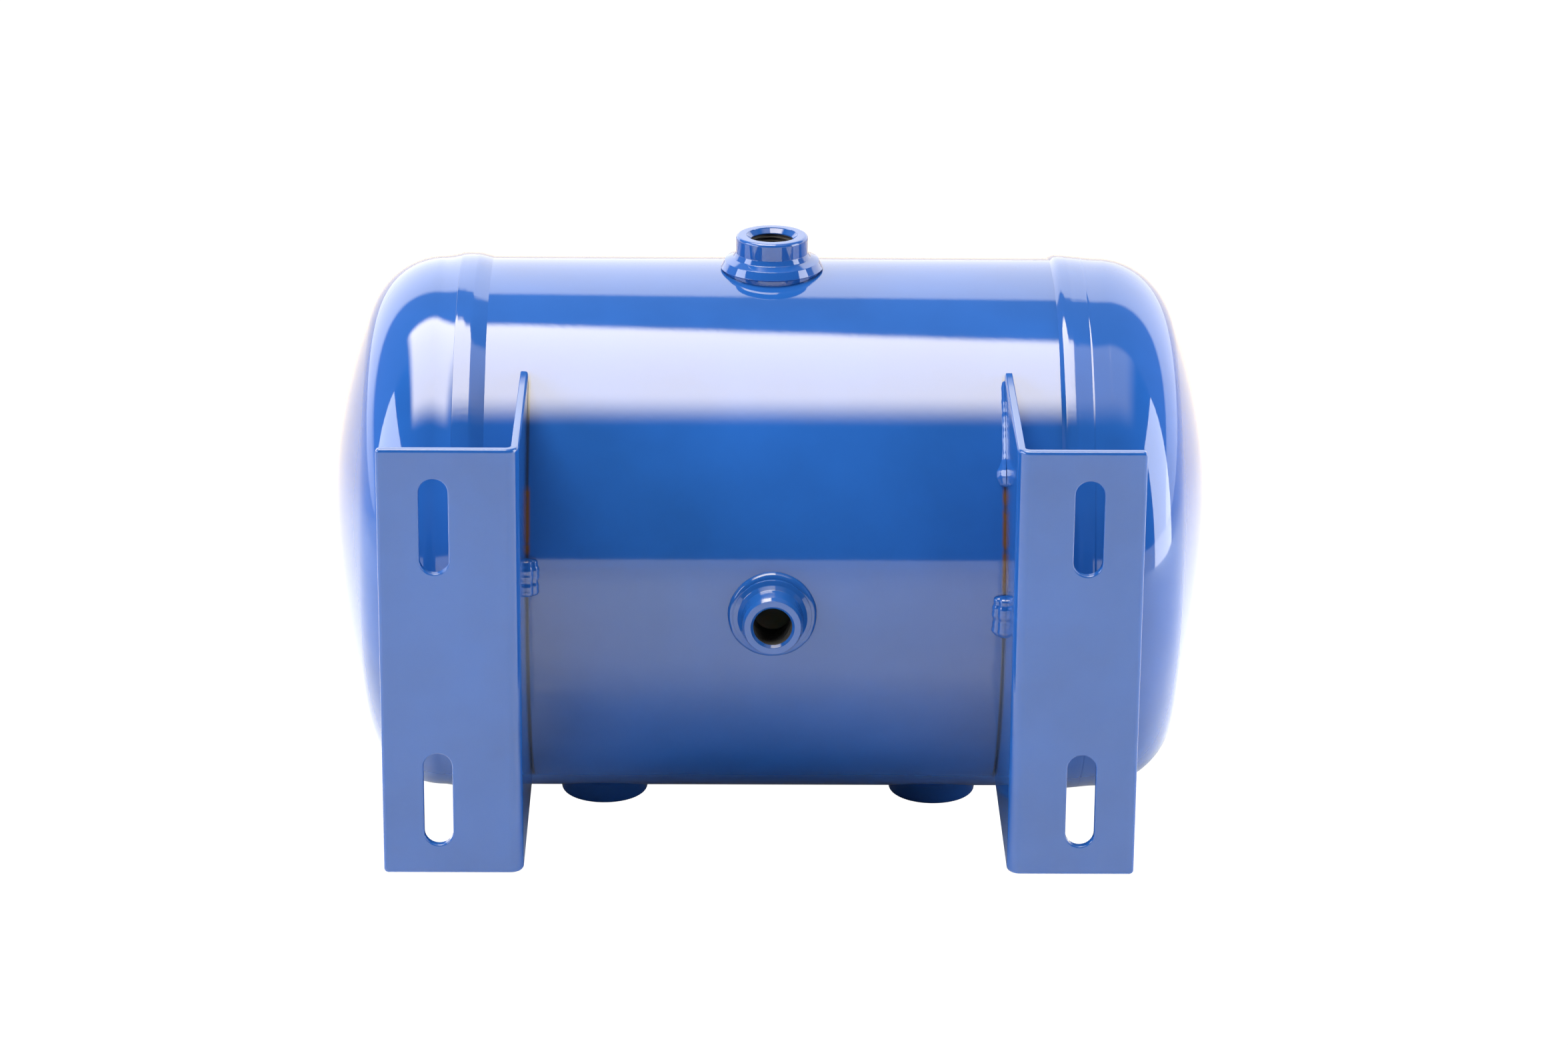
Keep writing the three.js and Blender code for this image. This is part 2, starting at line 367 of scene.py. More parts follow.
def painted_crevice_shade_and_rust(nodes, links, paint):
    """Painted shade: darkens paint along the line where each web meets the shell, with real rust where
    the joint is unsealed.
    """
    sums = Sums(nodes.id_data)
    x, y, z = coordinates(nodes, links)
    axis_y = float(AXIS[1]) * MM
    front = sums.step(y, float(AXIS[1] - 10) * MM, axis_y, 1.0, 0.0)
    grain = noise_node(nodes, links, 260, 3).outputs["Fac"]
    for side, sign in (("left", -1), ("right", 1)):
        low, high = extent(f"bracket_{side}")
        web = sign * min(abs(low[0]), abs(high[0]))
        top = float(high[2] * MM)
        foot, head = (edge * MM for edge in RUST[side])
        away = sums.math("ABSOLUTE", sums.math("SUBTRACT", x, float(web * MM)))
        tall = sums.step(sums.math("ABSOLUTE", z), top - 0.004, top, 1.0, 0.0)
        # Painted shade in the crease between web and shell, on the front half and below the web's top.
        line = sums.math("MULTIPLY", sums.step(away, *CREVICE_SHADE_EDGE, CREVICE_SHADE_SHARE, 0.0), front)
        line = sums.math("MULTIPLY", line, tall)
        paint = mixed(nodes, links, line, paint, CREVICE_SHADE)
        within = sums.math("MULTIPLY", sums.step(z, foot - 0.001, foot + 0.003),
                           sums.step(z, head - 0.003, head + 0.001, 1.0, 0.0))
        rust = sums.math("MULTIPLY", sums.step(away, *RUST_EDGE, 1.0, 0.0), within)
        rust = sums.math("MULTIPLY", sums.math("MULTIPLY", rust, front), sums.step(grain, 0.2, 0.55))
        paint = mixed(nodes, links, rust, paint, RUST_BROWN)
    return paint


def mixed(nodes, links, share, paint, colour):
    """A colour output that goes from paint to a plain colour as share goes from 0 to 1."""
    mix = nodes.new("ShaderNodeMix")
    mix.data_type = "RGBA"
    links.new(share, mix.inputs[0])
    links.new(paint, mix.inputs[6])
    mix.inputs[7].default_value = (*colour, 1)
    return mix.outputs[2]


def enamel(name, colour, roughness, peel=0.5, shade_and_rust_at_webs=False):
    """Glossy blue paint: faint mottling, faint orange peel and a slow waviness of the sheet."""
    material, nodes, links, shader = new_material(name)
    mottle = noise_node(nodes, links, 22, 3)
    darker = tuple(c * 0.93 for c in colour)
    lighter = tuple(c * 1.07 for c in colour)
    tint = ramp_node(nodes, links, mottle.outputs["Fac"], [(0.35, darker), (0.65, lighter)])
    paint = tint.outputs["Color"]
    # Painted shade where the webs meet the shell, plus rust.
    if shade_and_rust_at_webs:
        paint = painted_crevice_shade_and_rust(nodes, links, paint)
    links.new(paint, shader.inputs["Base Color"])
    fine = noise_node(nodes, links, 420, 1.5)
    slow = noise_node(nodes, links, 28, 1)
    peel_bump = bump_node(nodes, links, fine.outputs["Fac"], peel, 0.00001)
    sheet_bump = bump_node(nodes, links, slow.outputs["Fac"], 0.5, 0.0001)
    links.new(peel_bump.outputs["Normal"], sheet_bump.inputs["Normal"])
    links.new(sheet_bump.outputs["Normal"], shader.inputs["Normal"])
    gloss = noise_node(nodes, links, 60, 2)
    spread = nodes.new("ShaderNodeMapRange")
    spread.inputs["To Min"].default_value = roughness * 0.85
    spread.inputs["To Max"].default_value = roughness * 1.15
    links.new(gloss.outputs["Fac"], spread.inputs["Value"])
    links.new(spread.outputs["Result"], shader.inputs["Roughness"])
    shader.inputs["IOR"].default_value = 1.5
    return material


def bare_steel(name, colour, roughness):
    """Dull bare steel of bores, inner faces and the inside weld, with a little oxide mottling."""
    material, nodes, links, shader = new_material(name)
    mottle = noise_node(nodes, links, 300, 4)
    rusty = (colour[0] * 1.08, colour[1] * 0.98, colour[2] * 0.92)
    tint = ramp_node(nodes, links, mottle.outputs["Fac"], [(0.4, colour), (0.7, rusty)])
    links.new(tint.outputs["Color"], shader.inputs["Base Color"])
    shader.inputs["Metallic"].default_value = 0.6
    shader.inputs["Roughness"].default_value = roughness
    bump = bump_node(nodes, links, mottle.outputs["Fac"], 0.3, 0.00005)
    links.new(bump.outputs["Normal"], shader.inputs["Normal"])
    return material


VESSEL_BLUE = (0.0088, 0.058, 0.262)
BRACKET_BLUE = (0.0088, 0.058, 0.255)
# Colour of the painted shade in the crease where each web meets the shell.
CREVICE_SHADE = (0.012, 0.018, 0.028)
RUST_BROWN = (0.075, 0.036, 0.014)
RUST = {"left": (21.5, 47.0), "right": (8.0, 47.0)}  # heights above the axis with no sealing weld
CREVICE_SHADE_EDGE = (0.0004, 0.0012)  # metres from the web's face over which the painted shade line fades
CREVICE_SHADE_SHARE = 0.85
RUST_EDGE = (0.0005, 0.0019)
vessel_enamel = enamel("vessel_enamel", VESSEL_BLUE, 0.05)
shell_enamel = enamel("shell_enamel", VESSEL_BLUE, 0.05, shade_and_rust_at_webs=True)
bracket_enamel = enamel("bracket_enamel", BRACKET_BLUE, 0.09)
weld_enamel = enamel("weld_enamel", VESSEL_BLUE, 0.06, peel=0.8)
thread_steel = bare_steel("thread_steel", (0.050, 0.051, 0.054), 0.7)
inner_steel = bare_steel("inner_steel", (0.5, 0.5, 0.5), 0.6)
weld_steel = bare_steel("weld_steel", (0.25, 0.24, 0.23), 0.4)


# ---------------------------------------------------------------- shell and heads


def ports_frame(name):
    """The port's place along the vessel, its direction and the direction square to both."""
    low, high = extent(name)
    up = np.array(PORTS[name]["up"], float)
    along = (low[0] + high[0]) / 2
    return along, up, np.cross(up, (1, 0, 0))


def cut_hole(piece, name):
    """Cut the round hole for a port's spigot through the shell."""
    along, up, side = ports_frame(name)
    radius = PORTS[name]["spigot"] + GAP
    angle = np.linspace(0, math.tau, HOLE_AROUND, endpoint=False)
    flat = np.outer(np.cos(angle), (1, 0, 0)) + np.outer(np.sin(angle), side)
    centre = along * np.array((1, 0, 0))
    rings = [centre + radius * flat + up * h for h in (RADIUS * 0.6, RADIUS * 1.2)]
    mesh = bpy.data.meshes.new("cutter")
    placed = (np.concatenate(rings) + AXIS) * MM
    faces = ring_faces(2, HOLE_AROUND, False)
    faces += [tuple(range(HOLE_AROUND)), tuple(range(2 * HOLE_AROUND - 1, HOLE_AROUND - 1, -1))]
    mesh.from_pydata(placed.tolist(), [], faces)
    face_outwards(mesh)
    cutter = add_object("cutter", mesh)
    difference = piece.modifiers.new("hole", "BOOLEAN")
    difference.operation = "DIFFERENCE"
    difference.solver = "EXACT"
    difference.object = cutter
    settle(piece)
    bpy.data.objects.remove(cutter)


def turned_rings(profile, sign=1):
    """One ring of points for each (radius, along) of a line, turned about the vessel's axis."""
    angle = np.linspace(0, math.tau, AROUND, endpoint=False)
    return [on_vessel(np.full(AROUND, r), angle, np.full(AROUND, sign * x)) for r, x in profile]


def make_shell():
    outside = [(RADIUS, x) for x in np.linspace(-SHELL_END, SHELL_END, SHELL_ROWS)]
    inside = [(RADIUS - WALL, x) for x in np.linspace(SHELL_END, -SHELL_END, SHELL_ROWS)]
    points = np.concatenate(turned_rings(outside + inside))
    faces = ring_faces(2 * SHELL_ROWS, AROUND, True)
    which = [int(SHELL_ROWS <= i // AROUND < 2 * SHELL_ROWS - 1) for i in range(len(faces))]
    finishes = [shell_enamel, inner_steel]
    piece = add_piece("vessel_shell", points, faces, finishes, "shell", which=which)
    for name in PORTS:
        cut_hole(piece, name)


def dished_arcs(inset):
    """Knuckle and crown of a head from its tip outwards, for one face of the plate."""
    reach = CROWN_RADIUS - KNUCKLE_RADIUS
    centre_radius = RADIUS - KNUCKLE_RADIUS
    tilt = math.degrees(math.asin(centre_radius / reach))
    crown_centre = (0, HEAD_TIP - CROWN_RADIUS)
    knuckle_centre = (centre_radius, crown_centre[1] + math.sqrt(reach**2 - centre_radius**2))
    crown = arc(crown_centre, CROWN_RADIUS - inset, 90, 90 - tilt, 28)
    knuckle = arc(knuckle_centre, KNUCKLE_RADIUS - inset, 90 - tilt, 0, 24)
    return crown + knuckle[1:]


def make_head(side, sign):
    """The head: dished end, slightly flared rim, joggle and the skirt tucked inside the shell."""
    step = BEAD_X + ROOT_HALF + GAP
    skirt = RADIUS - WALL - GAP
    outside = dished_arcs(0)
    start, end = outside[-1][1], BEAD_X + BEAD_HALF - GAP
    flare = [(RADIUS + HEAD_RIM[side] * u**1.5, start + (end - start) * u)
             for u in np.linspace(0, 1, 9)]
    outside += flare[1:] + [(RADIUS, step + JOGGLE_RUN), (skirt, step), (skirt, SKIRT_END)]
    inside = dished_arcs(WALL)
    inside += [(RADIUS - WALL, step + JOGGLE_RUN + GAP), (skirt - WALL, step + GAP)]
    inside += [(skirt - WALL, SKIRT_END)]
    profile = outside[1:] + inside[:0:-1]
    tips = [(sign * outside[0][1], 0, 0), (sign * inside[0][1], 0, 0)]
    points = np.concatenate(turned_rings(profile, sign) + [tips])
    faces = ring_faces(len(profile), AROUND, False)
    tip, hollow = len(points) - 2, len(points) - 1
    last = (len(profile) - 1) * AROUND
    which = [int(i // AROUND >= len(outside) - 1) for i in range(len(faces))] + [0, 1] * AROUND
    for i in range(AROUND):
        j = (i + 1) % AROUND
        faces.append((tip, j, i))
        faces.append((hollow, last + i, last + j))
    name = f"head_{side}"
    finishes = [vessel_enamel, inner_steel]
    add_piece(f"dished_{name}", points, faces, finishes, name, which=which)


def make_head_weld(side, sign, seed):
    """The round bead between shell and head: crowned, with a slightly uneven width and height."""
    around = AROUND * 2
    angle = np.linspace(0, math.tau, around, endpoint=False)
    share = np.linspace(0, 1, 41)
    spots, heights = zip(*BEADS[side])
    section = np.interp(share * spots[-1], spots, heights)
    for _ in range(2):
        section[1:-1] = section[:-2] / 4 + section[1:-1] / 2 + section[2:] / 4
    left = BEAD_X - BEAD_HALF + BEAD_WANDER * wobble(angle, seed, (3, 7, 12, 19))
    right = BEAD_X + BEAD_HALF + BEAD_WANDER * wobble(angle, seed + 1, (3, 8, 13, 21))
    ripple = RIPPLE * np.sin(angle * BEAD_RIPPLES + 2.5 * wobble(angle, seed + 2))
    uneven = 0.97 + 0.03 * wobble(angle, seed + 3, (4, 9, 15))
    rows = []
    for t, height in zip(share, section):
        x = left + t * (right - left)
        bulge = 4 * t * (1 - t)
        rows.append(on_vessel(RADIUS + height * uneven + bulge * ripple, angle, sign * x))
    base = [(RADIUS - EMBED, BEAD_X + BEAD_HALF - 0.6), (RADIUS - EMBED, BEAD_X - BEAD_HALF + 0.6)]
    for r, x in base:
        rows.append(on_vessel(np.full(around, r), angle, np.full(around, sign * x)))
    name = f"head_weld_{side}"
    faces = ring_faces(len(rows), around, True)
    add_piece(f"bead_{side}", np.concatenate(rows), faces, [weld_enamel], name)


def make_seam_weld():
    """The straight seam along the shell, just below the middle of its back."""
    rows, columns = 241, 15
    along = np.linspace(-SEAM_HALF_LENGTH, SEAM_HALF_LENGTH, rows)
    across = np.linspace(-1, 1, columns)
    points = []
    for i, x in enumerate(along):
        ends = min(1.0, (SEAM_HALF_LENGTH - abs(x)) / 3 + 0.05) ** 0.5
        phase = math.tau * i / rows
        width = SEAM_HALF_WIDTH * (1 + 0.05 * math.sin(7 * phase) + 0.03 * math.sin(17 * phase)) * ends
        height = SEAM_HEIGHT * (1 + 0.05 * math.sin(11 * phase) + 0.03 * math.cos(x * 3.6)) * ends
        section = [(t * width, height * (1 - t * t)) for t in across]
        section += [(0.8 * width, -EMBED), (-0.8 * width, -EMBED)]
        for offset, rise in section:
            angle = SEAM_ANGLE + offset / RADIUS
            points.append((x, -(RADIUS + rise) * math.cos(angle), (RADIUS + rise) * math.sin(angle)))
    around = columns + 2
    faces = ring_faces(rows, around, False)
    faces += [tuple(range(around)), tuple(range(rows * around - 1, (rows - 1) * around - 1, -1))]
    add_piece("bead_seam", points, faces, [weld_enamel], "seam_weld")


# ---------------------------------------------------------------- ports


def saddle(radius, angle):
    """Distance from the vessel's axis of the shell's surface at a point around a port."""
    return np.sqrt(RADIUS**2 - (radius * np.sin(angle)) ** 2)


def port_points(name, rows, angle):
    """Rings of (radius, distance from the vessel's axis) around a port, as points."""
    along, up, side = ports_frame(name)
    rings = []
    for radius, reach in rows:
        radius = np.broadcast_to(radius, angle.shape)
        reach = np.broadcast_to(reach, angle.shape)
        ring = np.outer(radius * np.cos(angle) + along, (1, 0, 0))
        ring += np.outer(radius * np.sin(angle), side) + np.outer(reach, up)
        rings.append(ring)
    return np.concatenate(rings)


def thread_radius(height, angle, bore, start):
    """Radius of an internal thread with flats at crest and root, fading in below its start."""
    phase = (height / THREAD_PITCH - angle / math.tau) % 1
    away = np.abs(phase - 0.5) * 2
    fade = np.clip((start - height) / THREAD_PITCH, 0, 1)
    return bore + THREAD_DEPTH * fade * np.clip((0.75 - away) / 0.625, 0, 1)


def make_port(name):
    port = PORTS[name]
    angle = np.linspace(0, math.tau, PORT_AROUND, endpoint=False)
    top = RADIUS + port["corners"][-1][1]
    bottom = RADIUS - SPIGOT_DEPTH
    corners = [(port["foot"], 0.0, 0)] + port["corners"] + [(port["mouth"], port["corners"][-1][1], 0)]
    outside = rounded(corners)[1:-1]
    rows = [(port["foot"], saddle(port["foot"], angle) + 0.05)]
    rows += [(r, RADIUS + h) for r, h in outside]
    lip = 0.25
    rows += [(port["mouth"] + lip, top), (port["mouth"] + lip * 0.3, top - lip * 0.25)]
    rows += [(port["mouth"], top - lip)]
    painted = len(rows)
    steps = int((top - bottom) / THREAD_PITCH * THREAD_STEPS)
    start = top - lip - (port["mouth"] - port["bore"])
    for height in np.linspace(top - lip - 0.1, bottom + 0.6, steps):
        cone = port["mouth"] - (top - lip - height)
        relief = port["bore"] + 0.6 - (height - bottom)
        radius = thread_radius(height, angle, port["bore"], start)
        rows.append((np.maximum(np.maximum(radius, cone), relief), height))
        painted += bool(cone > port["bore"] - 0.35)
    rows += [(port["bore"] + 1.0, bottom), (port["spigot"] - 0.4, bottom), (port["spigot"], bottom + 0.4)]
    rows += [(port["spigot"], saddle(port["spigot"], angle) + 0.05)]
    points = port_points(name, rows, angle)
    faces = ring_faces(len(rows), PORT_AROUND, True)
    bare = [painted <= i // PORT_AROUND < len(rows) - 5 for i in range(len(faces))]
    which = [int(b) for b in bare]
    finishes = [vessel_enamel, thread_steel]
    add_piece(f"{name}_boss", points, faces, finishes, name, 32, which)


def make_port_weld(name, seed):
    """A hand-laid fillet around a port's foot, with an uneven toe."""
    weld = PORT_WELDS[name]
    angle = np.linspace(0, math.tau, PORT_AROUND * 2, endpoint=False)
    foot = PORTS[name]["foot"]
    reach = weld["reach"] * (1 + 0.10 * wobble(angle, seed, (2, 3, 5, 9)))
    height = weld["height"] * (1 + 0.08 * wobble(angle, seed + 1, (2, 4, 7)))
    ripple = RIPPLE * np.sin(angle * 34 + 2 * wobble(angle, seed + 2))
    rows = []
    for t in np.linspace(0, 1, 13):
        bulge = 0.42 * math.sin(math.pi * t)
        radius = foot + reach * (t + bulge * 0.5) + ripple * math.sin(math.pi * t)
        if t > 0.8:
            radius = np.minimum(radius, foot + reach)
        lift = height * ((1 - t) + bulge * 0.5)
        rows.append((radius, saddle(radius, angle) + lift))
    rows.append((foot + reach * 0.8, saddle(foot + reach * 0.8, angle) - EMBED))
    rows.append((foot - EMBED, saddle(foot, angle) - EMBED))
    rows.append((foot - EMBED, saddle(foot, angle) + height * 0.9))
    points = port_points(name, rows, angle)
    faces = ring_faces(len(rows), len(angle), True)
    node = f"{name}_weld"
    add_piece(f"{name}_bead", points, faces, [weld_enamel], node)


def make_inside_weld(seed):
    """The top port is welded from inside, around its spigot."""
    angle = np.linspace(0, math.tau, PORT_AROUND, endpoint=False)
    start = PORTS["top_port"]["spigot"]
    reach = INSIDE_WELD["reach"] * (1 + 0.08 * wobble(angle, seed))
    inner = RADIUS - WALL
    rows = []
    for t in np.linspace(0, 1, 9):
        radius = start + reach * t
        hollow = np.sqrt(inner**2 - (radius * np.sin(angle)) ** 2)
        rows.append((radius, hollow - INSIDE_WELD["depth"] * (1 - t) - 0.3 * math.sin(math.pi * t)))
    for radius in (start + reach * 0.8, start - EMBED):
        hollow = np.sqrt(inner**2 - (radius * np.sin(angle)) ** 2)
        rows.append((radius, hollow + EMBED))
    points = port_points("top_port", rows, angle)
    faces = ring_faces(len(rows), len(angle), True)
    add_piece("top_port_bead", points, faces, [weld_steel], "top_port_weld")


# ---------------------------------------------------------------- brackets


def bracket_places(side):
    """Sizes of one bracket, drawn for the right side; bend and slots also along the unrolled plate."""
    low, high = extent(f"bracket_{side}")
    web, outer = sorted((abs(low[0]), abs(high[0])))
    slots = [o["box_m"] for o in frame["record"]["physics"]["openings"]
             if o["name"].startswith(f"slot_{side}")]
    slot_x = abs(sum(slots[0][k][0] for k in (0, 1))) / 2 / MM
    bend_start = outer - web - BEND_OUTER
    return {
        "web": web, "outer": outer, "face": low[1] - AXIS[1],
        "half_height": (high[2] - low[2]) / 2,
        "bend_start": bend_start, "bend_end": bend_start + BEND_NEUTRAL * math.pi / 2,
        "slot_u": outer - slot_x,
        "slot_z": [sum(s[k][2] for k in (0, 1)) / 2 / MM for s in slots],
    }


def plate_outline(place, inset):
    """Flat outline of a bracket, (distance from the foot's edge, height), moved in by inset."""
    top = place["half_height"] - inset
    corner = max(PLATE_CORNER - inset, 0.05)
    reach = RADIUS + GAP + inset
    nose = math.sqrt((RADIUS + GAP) ** 2 - place["half_height"] ** 2) + 1.2 + inset
    nose = max(nose, math.sqrt(reach**2 - (top - 0.6) ** 2))
    unrolled = place["bend_end"] - (place["face"] + BEND_OUTER)
    swing = math.asin(math.sqrt(reach**2 - nose**2) / reach)
    outline = arc((inset + corner, -top + corner), corner, 180, 270, 6)
    outline += [(unrolled - nose, -top)]
    outline += [(unrolled - reach * math.cos(a), reach * math.sin(a))
                for a in np.linspace(-swing, swing, 65)]
    outline += [(unrolled - nose, top)]
    outline += arc((inset + corner, top - corner), corner, 90, 180, 6)
    return outline


def slot_outline(x, z, inset):
    half = SLOT_WIDTH / 2 + inset
    straight = (SLOT_LENGTH - SLOT_WIDTH) / 2
    return arc((x, z + straight), half, 0, 180, 20) + arc((x, z - straight), half, 180, 360, 20)


def edge_steps(front, back):
    """Insets and depths down one rounded edge of the plate: front face first."""
    turns = np.radians(np.linspace(0, 90, 7))
    top = [(front[0] * (1 - math.sin(a)), front[1] * (1 - math.cos(a))) for a in turns]
    low = [(back * (1 - math.sin(a)), PLATE - back * (1 - math.cos(a))) for a in turns[::-1]]
    return top + low


def flat_plate(place):
    """The bracket before it is bent: its front face is at depth 0."""
    steps = edge_steps(EDGE_FRONT, EDGE_BACK)
    slot_steps = edge_steps(SLOT_FRONT, EDGE_BACK)
    loops = [[(plate_outline(place, inset), depth) for inset, depth in steps]]
    for z in place["slot_z"]:
        loops.append([(slot_outline(place["slot_u"], z, inset), depth) for inset, depth in slot_steps])
    flat = bmesh.new()
    fronts, backs = [], []
    for rings in loops:
        made = [[flat.verts.new((u, z, depth)) for u, z in outline] for outline, depth in rings]
        count = len(made[0])
        for here, there in zip(made, made[1:]):
            for i in range(count):
                j = (i + 1) % count
                flat.faces.new((here[i], here[j], there[j], there[i]))
        fronts.append(made[0])
        backs.append(made[-1])
    fill_face(flat, fronts)
    fill_face(flat, backs)
    return flat


def fill_face(flat, rims):
    """Fill one flat face of the plate between its outline and its slots."""
    rim = [v for ring in rims for v in ring]
    edges, start = [], 0
    for ring in rims:
        edges += [(start + i, start + (i + 1) % len(ring)) for i in range(len(ring))]
        start += len(ring)
    spots = [Vector(v.co[:2]) for v in rim]
    cap = delaunay_2d_cdt(spots, edges, [], 0, 1e-7)
    for corners in cap[2]:
        middle = sum((cap[0][i] for i in corners), Vector((0, 0))) / 3
        if inside_plate(middle, [[v.co for v in ring] for ring in rims]):
            flat.faces.new([rim[cap[3][i][0]] for i in corners])


def bend(flat, place, sign):
    """Cut the flat plate into strips along its bend, and fold it into foot and web."""
    for u in np.linspace(place["bend_start"], place["bend_end"], BEND_STRIPS + 1):
        geometry = flat.verts[:] + flat.edges[:] + flat.faces[:]
        bmesh.ops.bisect_plane(flat, geom=geometry, plane_co=(u, 0, 0), plane_no=(1, 0, 0), dist=1e-5)
    for vertex in flat.verts:
        u, z, depth = vertex.co
        if u <= place["bend_start"]:
            x, y = place["outer"] - u, place["face"] + depth
        elif u < place["bend_end"]:
            turn = (u - place["bend_start"]) / BEND_NEUTRAL
            reach = BEND_OUTER - depth
            x = place["web"] + BEND_OUTER - reach * math.sin(turn)
            y = place["face"] + BEND_OUTER - reach * math.cos(turn)
        else:
            x, y = place["web"] + depth, place["face"] + BEND_OUTER + u - place["bend_end"]
        vertex.co = (sign * x, y, z)


def make_bracket(side, sign):
    """One plate with two slots in its foot, bent once."""
    place = bracket_places(side)
    plate = flat_plate(place)
    bend(plate, place, sign)
    bmesh.ops.recalc_face_normals(plate, faces=plate.faces)
    plate.verts.index_update()
    points = [tuple(v.co) for v in plate.verts]
    faces = [tuple(v.index for v in f.verts) for f in plate.faces]
    plate.free()
    name = f"bracket_{side}"
    add_piece(f"{name}_plate", points, faces, [bracket_enamel], name, 40)


def inside_plate(point, rings):
    """True where a point is inside the outline and outside the slots."""
    inside = False
    for ring in rings:
        for a, b in zip(ring, ring[1:] + ring[:1]):
            if (a[1] > point[1]) != (b[1] > point[1]):
                if point[0] < a[0] + (b[0] - a[0]) * (point[1] - a[1]) / (b[1] - a[1]):
                    inside = not inside
    return inside


# ---------------------------------------------------------------- fillet welds on the brackets

# First and last angle of each fillet above the front of the shell, in degrees.
OUTER_FILLETS = {"upper": (16, 30), "middle": (-6, 6), "lower": (-30, -16)}
FILLETS = {
    "bracket_left_weld_inner_middle": (4, 12),
    **{f"bracket_left_weld_outer_{spot}": span for spot, span in OUTER_FILLETS.items()},
    "bracket_right_weld_inner_upper": (27, 50.5),
    "bracket_right_weld_inner_middle": (-4.5, 4.5),
    **{f"bracket_right_weld_outer_{spot}": span for spot, span in OUTER_FILLETS.items()},
}


def make_fillet(node, start, end, seed):
    """A short fillet between web and shell, blunt at its ends; the middle ones have two soft lobes."""
    side = "left" if "left" in node else "right"
    sign = -1 if side == "left" else 1
    place = bracket_places(side)
    outward = 1 if "outer" in node else -1
    face = place["web"] + (PLATE if outward > 0 else 0)
    rows, columns = max(24, int((end - start) * 3)), 21
    draw = np.random.default_rng(seed)
    phases = draw.uniform(0, math.tau, 4)
    points = []
    for i in range(rows):
        t = -1 + 2 * i / (rows - 1)
        blunt = max(0.0, 1 - abs(t) ** 7) ** (1 / 3)
        blunt = 0.04 + 0.96 * blunt
        angle = math.radians((start + end) / 2 + t * (end - start) / 2)
        along = angle * RADIUS
        uneven = 1 + 0.05 * math.sin(along * 0.9 + phases[0]) + 0.03 * math.sin(along * 2.1 + phases[1])
        leg = FILLET_LEG * width_along(node, t) * blunt * uneven
        section = []
        for k in range(columns):
            v = k / (columns - 1)
            lobes = abs(math.sin(math.tau * v)) ** 0.8 if "middle" in node else 0.5
            bulge = leg * (0.10 * math.sin(math.pi * v) + 0.15 * lobes)
            section.append((leg * (1 - v) + bulge * 0.7, leg * v + bulge * 0.7))
        section += [(-EMBED, leg * 0.8), (-EMBED, -EMBED), (leg * 0.8, -EMBED)]
        for off, rise in section:
            reach = RADIUS + rise
            x = sign * (face + outward * off)
            points.append((x, -reach * math.cos(angle), reach * math.sin(angle)))
    around = columns + 3
    faces = ring_faces(rows, around, False)
    faces += [tuple(range(around)), tuple(range(rows * around - 1, (rows - 1) * around - 1, -1))]
    add_piece(f"{node}_bead", points, faces, [weld_enamel], node, 50)


def width_along(node, t):
    """Share of the full leg along a fillet; the right inner upper one has a blob at its low end."""
    if node.endswith("inner_middle"):
        return 1.3
    if node != "bracket_right_weld_inner_upper":
        return 1.0
    blob = 1 / (1 + math.exp((t + 0.62) * 18))
    return 0.34 + 0.62 * blob


# ---------------------------------------------------------------- stage, light and camera


# Strengths of the light around the vessel.
SOFTBOX = 16.0
SOFTBOX_DIM = 2.6  # its right-hand part
GAP_LIGHT = 0.35  # between the softbox and the backdrop
BACKDROP_HIGH = 3.4  # at the backdrop's edge, and further down it
BACKDROP_LOW = 1.4
ROOM = 0.05
TABLE = 2.3  # in front, below the horizon
SEEN_WHITE = 1.1  # how floor and surroundings show to the camera
WARM = (1.0, 0.88, 0.67)  # the softbox
PALE = (1.0, 0.95, 0.84)  # the backdrop and the rest of the room

# Directions, in degrees. Rise goes from the front horizon over the top to the back, and side
# from the left, negative, to the right. Each pair is where an edge starts and ends.
SOFTBOX_FRONT = (60.0, 76.0)
SOFTBOX_LEFT = (-34.0, -26.0)
SOFTBOX_RIGHT = (20.0, 37.0)
DIMMING = (4.5, 7.5)
BACK_EDGE = 109.4  # rise of the softbox's back edge at mid-length, and its softness
BACK_SOFTNESS = 2.5
SLANT = -1.45  # change of the back edge per degree of side, between these sides
SLANT_SIDES = (-2.5, 5.0)
CORNER_SIDES = (-7.0, -2.8)  # left of these the back edge is further back
CORNER_REACH = 4.5
GAP_EDGE = (96.0, 104.0)
TABLE_EDGE = (2.4, 4.0)
LEAN_SIDE = 6.0  # the backdrop's edge leans as far as this side, by so much
LEAN = 0.04

# The backdrop's edge as a share of straight back, lower towards the sides.
BACKDROP_LIMIT = 0.69
BACKDROP_TAPER = (5.0, 0.7)
BACKDROP_EDGE = (-0.03, 0.02)
BACKDROP_FADE = (0.0, 0.55)

# The floor: reflectance under the vessel, a painted shadow of it, and clear of it, distances in metres
# from the axis.
FLOOR_PAINTED_SHADOW = 0.36
FLOOR_FAR = 0.87
FLOOR_FADE = (0.07, 0.22)
FLOOR_AHEAD = (0.92, 0.97, 1.0)  # tint in front of the vessel, and tint and share behind it
FLOOR_BEHIND = (0.60, 0.57, 0.52)
FLOOR_TURN = (0.1, 0.5)
FLOOR_HALF = 12.0
FLOOR_DROP = 0.001  # below the ports


